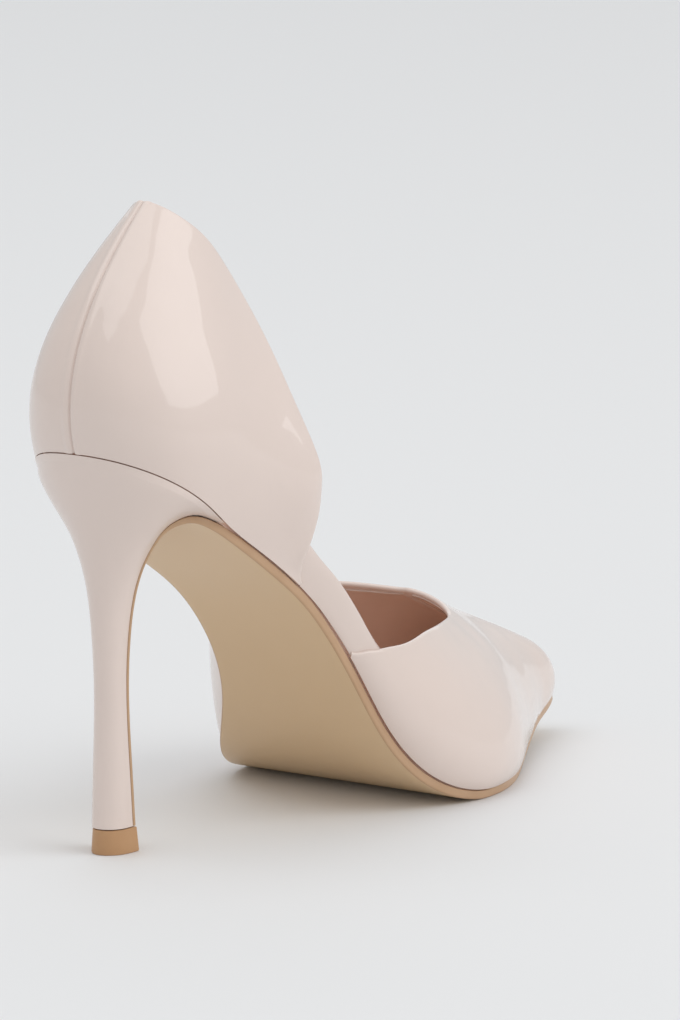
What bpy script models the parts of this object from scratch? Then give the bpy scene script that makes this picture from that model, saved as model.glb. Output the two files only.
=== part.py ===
# D'Orsay pump, right shoe, on a 100 mm stiletto heel.
# Metres, +Z up, +Y to the toe, +X to the outer (lateral) side of the foot.
# The origin is on the floor, in the middle of the heel tip.
# The tables are in millimetres and MM turns them into metres.
import math

import bmesh
import bpy
import numpy as np

MM = 0.001
GAP = 0.3                 # between neighbouring pieces
WALL = 1.1                # leather and lining of the waist bands
OVERLAY = 0.7             # how far the quarter and the vamp stand over the bands
SOLE = 2.3                # thickness of the outsole under the foot
SOLE_ON_HEEL = 1.1        # its thickness down the front of the heel
SOLE_THINNING = 0.3       # how much thinner it gets with each row of HEEL
INSOLE = 1.8              # thickness of the insole
INSOLE_ENDS = 1.0         # how much further the insole stops short at the toe and heel
SOLE_INSET = 0.5          # the sole's edge lies this far inside the upper

# The line where the upper meets the sole, a row for each section, from heel to toe:
# y, z, x_lateral, x_medial.
EDGE = (
    (-12.0, 100.6, -1.4, -1.4),
    (-9.6, 99.4, 10.6, -13.2),
    (-3.0, 95.8, 18.6, -20.6),
    (10.0, 87.6, 22.7, -24.0),
    (20.0, 80.1, 22.6, -23.8),
    (29.0, 74.0, 23.3, -22.4),
    (38.5, 67.4, 24.2, -19.8),
    (48.5, 59.3, 25.1, -17.4),
    (57.0, 49.8, 26.0, -16.4),
    (64.0, 40.0, 27.0, -16.9),
    (70.5, 29.2, 28.4, -19.6),
    (77.5, 18.6, 30.4, -25.6),
    (86.0, 10.2, 33.0, -32.6),
    (97.0, 4.7, 35.2, -38.0),
    (108.0, 2.6, 35.8, -40.2),
    (120.0, 2.55, 33.6, -39.4),
    (132.0, 2.6, 28.4, -36.0),
    (147.0, 3.6, 19.6, -29.6),
    (163.0, 5.6, 10.4, -22.2),
    (178.0, 8.2, 2.8, -15.2),
    (188.5, 10.4, -1.4, -10.8),
    (193.0, 11.4, -6.0, -6.0),
)

# The ribs of the upper. Each runs from the edge of the sole at foot_y to a point of the
# topline or of the ridge over the toes. low_* bends it out above the sole, high_* brings
# it in at the top, and turn is the direction of both in plan: 0 sideways, 90 forwards.
RIB_COLUMNS = ("foot_y", "y_lateral", "y_medial", "z_lateral", "z_medial", "x_lateral",
               "x_medial", "low_out", "low_up", "high_out", "high_drop", "turn")
TOE_RIBS = (
    (193.0, 177.6, 177.6, 28.3, 28.3, -6.5, -6.5, 2.0, 7.0, 9.0, 3.4, 90.0),
    (188.0, 173.0, 173.0, 30.0, 30.0, -6.6, -6.6, 2.2, 8.0, 10.0, 2.9, 50.0),
    (178.0, 165.0, 165.0, 33.0, 33.0, -6.9, -6.9, 2.6, 9.0, 11.0, 1.9, 30.0),
    (163.0, 153.5, 153.5, 37.0, 37.0, -7.4, -7.4, 3.2, 11.0, 14.0, 2.3, 26.0),
    (148.0, 143.5, 143.5, 41.2, 41.2, -7.9, -7.9, 3.8, 13.0, 17.0, 2.7, 22.0),
    (137.5, 135.5, 135.5, 44.8, 44.8, -8.0, -8.0, 4.2, 14.0, 20.0, 2.0, 12.0),
)
VAMP_RIBS = (
    (132.0, 133.6, 133.6, 42.8, 45.8, 2.5, -16.5, 4.4, 14.0, 16.0, 4.0, 8.0),
    (126.0, 128.6, 128.6, 41.2, 47.0, 11.0, -25.0, 4.6, 14.0, 14.0, 7.0, 5.0),
    (115.0, 117.6, 117.6, 41.0, 46.9, 18.5, -32.7, 4.6, 14.0, 12.0, 11.0, 2.0),
    (94.0, 96.1, 96.1, 42.6, 45.3, 26.4, -38.8, 4.5, 14.0, 8.0, 14.0, 0.0),
    (76.0, 82.0, 78.5, 43.0, 44.4, 30.4, -31.4, 3.4, 8.0, 3.2, 6.4, 0.0),
    (62.6, 72.2, 67.6, 43.2, 44.2, 30.2, -22.4, 1.6, 2.0, 1.0, 0.4, 0.0),
)
BAND_RIBS = (
    (59.6, 69.2, 64.6, 46.4, 47.0, 30.0, -21.6, 1.4, 2.0, 0.8, 0.6, 0.0),
    (55.4, 63.4, 59.4, 54.2, 54.6, 29.0, -20.2, 1.2, 2.4, 0.5, 1.6, 0.0),
    (51.4, 56.4, 54.2, 62.6, 62.0, 28.2, -19.4, 1.0, 2.8, 0.4, 2.4, 0.0),
    (48.4, 50.4, 49.6, 68.6, 67.6, 27.4, -20.6, 0.8, 3.2, 0.4, 3.0, 0.0),
)
QUARTER_RIBS = (
    (47.2, 46.2, 46.2, 73.6, 72.8, 27.6, -23.6, 0.8, 3.8, 0.6, 4.0, 0.0),
    (44.8, 45.2, 45.2, 82.6, 82.6, 29.6, -29.4, 1.4, 6.0, 1.0, 7.0, 0.0),
    (41.5, 45.6, 45.6, 96.0, 96.0, 29.8, -32.0, 3.4, 10.0, 2.2, 12.0, 0.0),
    (35.0, 43.0, 43.0, 110.5, 110.5, 25.4, -30.6, 6.6, 14.0, 7.0, 17.0, 0.0),
    (25.0, 40.0, 40.0, 126.8, 126.8, 18.0, -24.2, 7.4, 18.0, 11.5, 24.0, -6.0),
    (13.0, 34.2, 34.2, 143.0, 143.0, 11.2, -17.0, 6.8, 22.0, 15.0, 26.0, -22.0),
    (-1.0, 26.6, 26.6, 151.6, 151.6, 7.4, -13.2, 5.6, 22.0, 19.0, 25.0, -46.0),
    (-10.0, 19.6, 19.6, 157.6, 157.6, 2.0, -8.2, 6.0, 20.0, 24.0, 23.0, -70.0),
    (-12.0, 17.0, 17.0, 159.2, 159.2, -3.0, -3.0, 6.0, 19.0, 22.0, 20.0, -90.0),
)
RIBS = TOE_RIBS + VAMP_RIBS + BAND_RIBS + QUARTER_RIBS
THROAT = len(TOE_RIBS) - 1                          # the last rib that meets its twin
BAND_FROM = len(TOE_RIBS) + len(VAMP_RIBS) - 1      # the last rib of the vamp
BAND_TO = BAND_FROM + len(BAND_RIBS) + 1            # the first rib of the quarter

# The front of the heel, a row for each section from the seat to the tip. front_* is the
# outer face of the outsole there and half_front its half width; back_* is the back of
# the section, which leans with the seat, and half_widest its half width at the middle.
# Columns: front_y, front_z, half_front, back_y, back_z, half_widest.
HEEL = (
    (14.0, 81.0, 20.6, -11.6, 98.6, 22.6),
    (10.2, 82.3, 17.8, -10.6, 94.5, 20.6),
    (7.4, 80.8, 14.2, -9.2, 89.5, 16.8),
    (5.8, 77.2, 11.0, -7.5, 83.5, 12.4),
    (4.8, 71.5, 8.0, -5.9, 76.0, 8.6),
    (4.2, 63.0, 5.4, -4.8, 66.0, 5.7),
    (3.8, 53.0, 4.1, -4.2, 54.0, 4.3),
    (3.5, 42.0, 3.7, -3.8, 42.0, 3.85),
    (3.9, 22.0, 4.1, -4.3, 22.0, 4.2),
    (4.5, 6.5, 4.5, -4.9, 6.5, 4.6),
)
SOLE_TURN = (20.0, 77.2, 22.2)    # y, z and half width where the sole nears the heel
SHANK_END = 29.0                  # y where the sole still has the shape of the edge
TOE_START = 132.0                 # y where the sole's sections begin to crowd to the toe
SEAT_FRONT = 17.0                 # y of the front end of the heel's wings
HEEL_LEAN = -0.6                  # x of the middle of the seat
# The heel tip's sections: z, front_y, half_front, back_y, half_widest.
HEEL_TIP = (
    (6.2, 4.5, 4.5, -4.9, 4.6),
    (0.6, 4.9, 4.9, -5.2, 5.0),
    (0.0, 4.6, 4.6, -4.9, 4.7),
)


def clear_scene():
    for item in list(bpy.data.objects):
        bpy.data.objects.remove(item)


def spline(knots, rows, at, start=None, end=None):
    """Cubic spline through rows at knots; start and end are slopes, else free ends."""
    knots = np.asarray(knots, float)
    rows = np.asarray(rows, float)
    at = np.asarray(at, float)
    count = len(knots)
    step = np.diff(knots)
    slope = np.diff(rows, axis=0) / step[:, None]
    matrix = np.zeros((count, count))
    right = np.zeros_like(rows)
    for i in range(1, count - 1):
        matrix[i, i - 1:i + 2] = step[i], 2 * (step[i - 1] + step[i]), step[i - 1]
        right[i] = 3 * (step[i] * slope[i - 1] + step[i - 1] * slope[i])
    matrix[0, :2] = (1, 0) if start is not None else (2, 1)
    right[0] = start if start is not None else 3 * slope[0]
    matrix[-1, -2:] = (0, 1) if end is not None else (1, 2)
    right[-1] = end if end is not None else 3 * slope[-1]
    tangent = np.linalg.solve(matrix, right)
    k = np.clip(np.searchsorted(knots, at, side="right") - 1, 0, count - 2)
    h = step[k][:, None]
    t = ((at - knots[k])[:, None]) / h
    return ((2 * t**3 - 3 * t**2 + 1) * rows[k] + (t**3 - 2 * t**2 + t) * h * tangent[k]
            + (3 * t**2 - 2 * t**3) * rows[k + 1] + (t**3 - t**2) * h * tangent[k + 1])


def edge_knots():
    rows = np.array(EDGE)
    return np.concatenate([[0], np.cumsum(np.linalg.norm(np.diff(rows[:, :3], axis=0), axis=1))])


def edge_rows(at):
    """Columns of EDGE at distances along the edge; both ends leave the centre squarely."""
    return spline(edge_knots(), EDGE, at, start=(0, 0, 1, -1), end=(0, 0, -1, 1))


def edge_at_y(y):
    """The distance along the edge where it reaches y."""
    fine = np.linspace(0, edge_knots()[-1], 4001)
    return np.interp(y, np.maximum.accumulate(edge_rows(fine)[:, 0]), fine)


def rib_rows(at):
    """Columns of RIBS by name at fractional row numbers; foot_y becomes a distance.

    The ridge over the toes and the topline are splines of their own, because they meet in
    a corner at the throat, where the topline leaves the ridge squarely.
    """
    rows = np.array(RIBS)
    rows[:, 0] = edge_at_y(rows[:, 0])
    number = np.arange(len(rows))
    low = spline(number, rows, at)
    over_toes = spline(number[:THROAT + 1], rows[:THROAT + 1], at)
    leaving = rows[THROAT + 1] - rows[THROAT]
    square = [RIB_COLUMNS.index(name) for name in ("y_lateral", "y_medial", "z_lateral", "z_medial")]
    leaving[square] = 0
    topline = spline(number[THROAT:], rows[THROAT:], at, start=leaving)
    top = np.where((at <= THROAT)[:, None], over_toes, topline)
    from_low = ("foot_y", "low_out", "low_up", "turn")
    return {name: (low if name in from_low else top)[:, k] for k, name in enumerate(RIB_COLUMNS)}


def rib_points(at, rise, side):
    """Points of the upper's outer face: cubic Bezier ribs, at rib numbers and rises 0..1."""
    rib = rib_rows(at)
    foot = edge_rows(rib["foot_y"])
    column, outward = (2, 1) if side == "lateral" else (3, -1)
    turn = np.radians(rib["turn"])
    out = np.stack([outward * np.cos(turn), np.sin(turn), 0 * turn], 1)
    up = np.array([0, 0, 1.0])
    p0 = np.stack([foot[:, column], foot[:, 0], foot[:, 1]], 1)
    p3 = np.stack([rib["x_" + side], rib["y_" + side], rib["z_" + side]], 1)
    p1 = p0 + out * rib["low_out"][:, None] + up * rib["low_up"][:, None]
    p2 = p3 + out * rib["high_out"][:, None] - up * rib["high_drop"][:, None]
    t = np.asarray(rise)[None, :, None]
    p0, p1, p2, p3 = (p[:, None] for p in (p0, p1, p2, p3))
    return (1 - t)**3 * p0 + 3 * t * (1 - t)**2 * p1 + 3 * t**2 * (1 - t) * p2 + t**3 * p3


def upper_stations(per_row):
    """Rib numbers from the toe to the heel back, with a close pair at each step."""
    step = 0.03
    parts = []
    for first, last in ((0, BAND_FROM), (BAND_FROM + step, BAND_TO - step),
                        (BAND_TO, len(RIBS) - 1)):
        count = int(round((last - first) * per_row)) + 1
        parts.append(np.linspace(first, last, count))
    return np.concatenate(parts)


def upper_skins(at, rise):
    """Outer and inner faces of the upper as closed rings of ribs: grids of points."""
    lateral = rib_points(at, rise, "lateral")
    medial = rib_points(at, rise, "medial")
    base = np.concatenate([lateral, medial[-2:0:-1]])
    along = np.roll(base, -1, 0) - np.roll(base, 1, 0)
    across = np.gradient(base, axis=1)
    normal = np.cross(across, along)
    ridge = np.flatnonzero(at <= THROAT)
    back = np.gradient(base[ridge, -1], axis=0)
    normal[ridge, -1] = np.stack([0 * back[:, 0], back[:, 2], -back[:, 1]], 1)
    normal[-ridge, -1] = normal[ridge, -1]
    normal /= np.linalg.norm(normal, axis=2, keepdims=True)
    inset = np.where((at > BAND_FROM) & (at < BAND_TO), OVERLAY, 0.0)
    inset = np.concatenate([inset, inset[-2:0:-1]])[:, None, None]
    return base - normal * inset, base - normal * (WALL + OVERLAY)


def inset_outline(amount, y):
    """x of the lateral and medial sides of the edge at y, drawn in by amount in plan."""
    edge = edge_rows(np.linspace(0, edge_knots()[-1], 2001))
    sides = []
    for column, outward in ((2, 1), (3, -1)):
        plan = np.stack([edge[:, column], edge[:, 0]], 1)
        tangent = np.gradient(plan, axis=0)
        tangent /= np.linalg.norm(tangent, axis=1)[:, None]
        plan -= outward * amount * np.stack([tangent[:, 1], -tangent[:, 0]], 1)
        sides.append(np.interp(y, np.maximum.accumulate(plan[:, 1]), plan[:, 0]))
    return sides


def edge_path(y, depth):
    """Points (y, z) at a depth under the edge, square to it in side view."""
    z = edge_rows(edge_at_y(y))[:, 1]
    ahead = edge_rows(edge_at_y(np.asarray(y) + 0.2))[:, 1]
    behind = edge_rows(edge_at_y(np.asarray(y) - 0.2))[:, 1]
    slope = (ahead - behind) / 0.4
    length = np.sqrt(1 + slope**2)
    return y + depth * slope / length, z - depth / length


def sole_sections(per_row):
    """The outsole's outer face from the toe to the heel tip, and its normals in side view.

    Columns: y, z, x_lateral, x_medial, thickness, then back_y, back_z and half_widest of
    the heel there, and the row number of HEEL, which is below 0 under the foot.
    """
    end = EDGE[-1][0] - SOLE_INSET
    ease = np.sin(np.linspace(0.02, 1, 6 * per_row) * math.pi / 2)
    toe_y = end - (end - TOE_START) * ease**1.5
    fore_y = np.concatenate([toe_y[:-1], np.linspace(TOE_START, SHANK_END, 10 * per_row)])
    y, z = edge_path(fore_y, GAP + SOLE)
    x_lateral, x_medial = inset_outline(SOLE_INSET, fore_y)
    first = HEEL[0]
    fore = [(*point, SOLE, *first[3:], -1.0)
            for point in zip(y, np.maximum(z, 0), x_lateral, x_medial)]
    turn_y, turn_z, turn_half = SOLE_TURN
    heel = [(turn_y, turn_z, lean(turn_z) + turn_half, lean(turn_z) - turn_half, SOLE,
             *first[3:], -1.0)]
    for number, (y, z, half, *back) in enumerate(HEEL):
        thickness = max(SOLE_ON_HEEL, SOLE - SOLE_THINNING * (number + 1))
        heel.append((y, z, lean(z) + half, lean(z) - half, thickness, *back, number))
    near = np.array(fore[-3 * per_row::per_row] + heel)
    knots = np.concatenate([[0], np.cumsum(np.linalg.norm(np.diff(near[:, :2], axis=0), axis=1))])
    stations = [np.linspace(knots[k], knots[k + 1], per_row, endpoint=False)
                for k in range(2, len(knots) - 1)]
    rows = np.concatenate([fore[:-per_row], spline(knots, near, [*np.concatenate(stations), knots[-1]])])
    tangent = np.gradient(rows[:, :2], axis=0)
    tangent /= np.linalg.norm(tangent, axis=1)[:, None]
    tangent[-1] = 0, -1
    return rows, np.stack([tangent[:, 1], -tangent[:, 0]], 1)


def lean(z):
    """x of the middle of the heel at height z."""
    return HEEL_LEAN * np.minimum(np.asarray(z) / HEEL[0][1], 1)


def heel_outline(front, half_front, back, half_widest, count):
    """Half a section of the heel from its front corner to the middle of its back."""
    shoulder = 0.35
    angle = np.linspace(0, math.pi / 2, 60)
    fore = np.linspace(0, shoulder, 12)
    aft = shoulder + (1 - shoulder) * np.sin(angle)
    half = np.concatenate([
        half_widest - (half_widest - half_front) * ((shoulder - fore) / shoulder)**2,
        half_widest * np.cos(angle)])
    depth = np.concatenate([fore, aft])
    front, back = np.asarray(front, float), np.asarray(back, float)
    path = np.concatenate([half[:, None], front + (back - front) * depth[:, None]], 1)
    return evenly(path, count)


def evenly(path, count):
    """The same path with count points at equal distances."""
    length = np.concatenate([[0], np.cumsum(np.linalg.norm(np.diff(path, axis=0), axis=1))])
    at = np.linspace(0, length[-1], count)
    return np.stack([np.interp(at, length, path[:, i]) for i in range(path.shape[1])], 1)


def closed_ring(right, left):
    """A section's outline: its lateral half to the back, then its medial half forwards."""
    return np.concatenate([right, left[-2::-1]])


def heel_rings(per_row, count):
    """Sections of the heel from the tip to the seat, each a closed outline."""
    rings = []
    for row, normal in zip(*sole_sections(per_row)):
        y, z, x_lateral, x_medial, thickness, back_y, back_z, half_widest, number = row
        if number < -0.01:
            continue
        front = np.array((y, z)) + normal * (thickness + GAP)
        half = heel_outline(front, (x_lateral - x_medial) / 2, (back_y, back_z), half_widest, count)
        x = lean(half[:, 2])
        rings.insert(0, closed_ring(np.stack([x + half[:, 0], half[:, 1], half[:, 2]], 1),
                                    np.stack([x - half[:, 0], half[:, 1], half[:, 2]], 1)))
    edge = edge_rows(np.linspace(edge_at_y(SEAT_FRONT), 0, 80))
    y, z = edge_path(edge[:, 0], GAP)
    rings.append(closed_ring(evenly(np.stack([edge[:, 2], y, z], 1), count),
                             evenly(np.stack([edge[:, 3], y, z], 1), count)))
    return rings


def add_quads(data, grid, flip=False):
    """Faces between neighbouring rows and columns of a grid of vertices."""
    for i in range(len(grid) - 1):
        for j in range(len(grid[i]) - 1):
            corners = [grid[i][j], grid[i + 1][j], grid[i + 1][j + 1], grid[i][j + 1]]
            corners = [v for k, v in enumerate(corners) if v is not corners[k - 1]]
            data.faces.new(corners[::-1] if flip else corners)


def loft(rings):
    """A closed solid through outlines that start and end beside the same straight side."""
    data = bmesh.new()
    loops = [[data.verts.new(point * MM) for point in ring] for ring in rings]
    add_quads(data, [loop + loop[:1] for loop in loops])
    for loop, flip in ((loops[0], False), (loops[-1], True)):
        half = len(loop) // 2
        ladder = [[loop[k], loop[-1 - k]] for k in range(half)] + [[loop[half], loop[half]]]
        for k in range(half - 1):
            corners = [ladder[k][0], ladder[k][1], ladder[k + 1][1], ladder[k + 1][0]]
            data.faces.new(corners[::-1] if flip else corners)
        corners = [ladder[half - 1][0], ladder[half - 1][1], loop[half]]
        data.faces.new(corners[::-1] if flip else corners)
    bmesh.ops.recalc_face_normals(data, faces=data.faces)
    return data


def upper_mesh(per_row, rises):
    at = upper_stations(per_row)
    outer, inner = upper_skins(at, np.linspace(0, 1, rises))
    data = bmesh.new()
    skins = [[[data.verts.new(point * MM) for point in rib] for rib in skin]
             for skin in (outer, inner)]
    outer, inner = ([*skin, skin[0]] for skin in skins)
    add_quads(data, outer)
    add_quads(data, inner, flip=True)
    for i in range(len(outer) - 1):
        data.faces.new((outer[i][0], inner[i][0], inner[i + 1][0], outer[i + 1][0]))
        along = min(i, len(outer) - 2 - i)
        if at[along] >= THROAT:
            data.faces.new((outer[i][-1], outer[i + 1][-1], inner[i + 1][-1], inner[i][-1]))
    bmesh.ops.remove_doubles(data, verts=data.verts, dist=0.00001)
    bmesh.ops.recalc_face_normals(data, faces=data.faces)
    return data


def outsole_mesh(per_row):
    profile = ((-1, 0), (-0.5, 0), (0, 0), (0.5, 0), (1, 0), (1, 0.7),
               (0.98, 1), (0.5, 1), (0, 1), (-0.5, 1), (-0.98, 1), (-1, 0.7))
    rows, normal = sole_sections(per_row)
    rings = []
    for row, (normal_y, normal_z) in zip(rows, normal):
        y, z, x_lateral, x_medial, thickness = row[:5]
        ring = []
        for across, depth in profile:
            x = (x_lateral + x_medial) / 2 + across * (x_lateral - x_medial) / 2
            rise = thickness * (1 - depth)
            ring.append((x, y + normal_y * rise, z + normal_z * rise))
        rings.append(np.array(ring))
    data = bmesh.new()
    loops = [[data.verts.new(point * MM) for point in ring] for ring in rings]
    add_quads(data, [loop + loop[:1] for loop in loops])
    data.faces.new(loops[0])
    data.faces.new(loops[-1])
    bmesh.ops.recalc_face_normals(data, faces=data.faces)
    return data


def insole_mesh(count):
    inset = WALL + OVERLAY + GAP
    first, last = EDGE[0][0] + inset + INSOLE_ENDS / 2, EDGE[-1][0] - inset - INSOLE_ENDS
    y = first + (last - first) * (1 - np.cos(np.linspace(0.06, math.pi - 0.06, count))) / 2
    x_lateral, x_medial = inset_outline(inset, y)
    low_y, low_z = edge_path(y, 0)
    high_y, high_z = edge_path(y, -INSOLE)
    rings = []
    for k in range(count):
        rings.append(np.array([
            (x_medial[k], low_y[k], low_z[k]), (x_lateral[k], low_y[k], low_z[k]),
            (x_lateral[k], high_y[k], high_z[k]), (x_medial[k], high_y[k], high_z[k])]))
    data = bmesh.new()
    loops = [[data.verts.new(point * MM) for point in ring] for ring in rings]
    add_quads(data, [loop + loop[:1] for loop in loops])
    data.faces.new(loops[0])
    data.faces.new(loops[-1])
    bmesh.ops.recalc_face_normals(data, faces=data.faces)
    return data


def heel_tip_mesh(count):
    rings = []
    for z, front_y, half_front, back_y, half_widest in reversed(HEEL_TIP):
        half = heel_outline((front_y, z), half_front, (back_y, z), half_widest, count)
        rings.append(closed_ring(half, half * np.array([-1, 1, 1])))
    return loft(rings)


def new_object(name, mesh_data, material):
    mesh = bpy.data.meshes.new(name)
    mesh_data.to_mesh(mesh)
    mesh_data.free()
    mesh.materials.append(material)
    item = bpy.data.objects.new(name, mesh)
    bpy.context.scene.collection.objects.link(item)
    return item


def finish_material(name, colour, roughness):
    material = bpy.data.materials.new(name)
    material.use_nodes = True
    shader = material.node_tree.nodes["Principled BSDF"]
    shader.inputs["Base Color"].default_value = (*colour, 1)
    shader.inputs["Roughness"].default_value = roughness
    shader.inputs["Metallic"].default_value = 0.0
    return material


def main():
    clear_scene()
    patent = finish_material("patent_leather_blush", (0.72, 0.60, 0.55), 0.08)
    lining = finish_material("lining_dusky_pink", (0.48, 0.33, 0.28), 0.55)
    leather = finish_material("sole_leather_beige", (0.47, 0.35, 0.21), 0.42)
    rubber = finish_material("heel_tip_tan", (0.46, 0.25, 0.12), 0.5)
    shapes = (
        ("upper", upper_mesh(3, 9), patent),
        ("insole", insole_mesh(40), lining),
        ("outsole", outsole_mesh(3), leather),
        ("heel", loft(heel_rings(3, 14)), patent),
        ("heel_tip", heel_tip_mesh(10), rubber),
    )
    pieces = bpy.data.collections.new("dorsay_pump")
    bpy.context.scene.collection.children.link(pieces)
    origin = bpy.data.objects.new("pump_origin", None)
    pieces.objects.link(origin)
    for name, data, material in shapes:
        item = new_object(name, data, material)
        bpy.context.scene.collection.objects.unlink(item)
        pieces.objects.link(item)
        item.parent = origin
        item.data.shade_smooth()
        item.data.set_sharp_from_angle(angle=math.radians(35))


main()
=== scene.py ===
import math

import bmesh
import bpy
import numpy as np
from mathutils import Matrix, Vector


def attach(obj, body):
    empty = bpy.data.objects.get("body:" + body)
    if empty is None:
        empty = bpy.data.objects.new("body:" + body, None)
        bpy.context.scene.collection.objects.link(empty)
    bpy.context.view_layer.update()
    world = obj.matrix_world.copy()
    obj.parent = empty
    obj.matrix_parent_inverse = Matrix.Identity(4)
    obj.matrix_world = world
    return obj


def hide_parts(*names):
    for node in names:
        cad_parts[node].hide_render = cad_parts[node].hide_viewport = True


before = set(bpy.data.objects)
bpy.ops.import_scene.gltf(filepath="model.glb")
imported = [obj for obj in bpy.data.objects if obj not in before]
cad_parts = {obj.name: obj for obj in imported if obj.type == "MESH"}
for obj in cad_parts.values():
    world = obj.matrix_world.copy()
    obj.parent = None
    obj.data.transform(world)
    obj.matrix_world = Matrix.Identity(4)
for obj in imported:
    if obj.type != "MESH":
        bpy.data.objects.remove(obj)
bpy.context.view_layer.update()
print("frame loaded:", ", ".join(sorted(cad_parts)))

# Sizes of the shoe are in millimetres, x to the outer side of the foot, y to the toe,
# z up from the floor. They become metres when a mesh is made.

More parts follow.
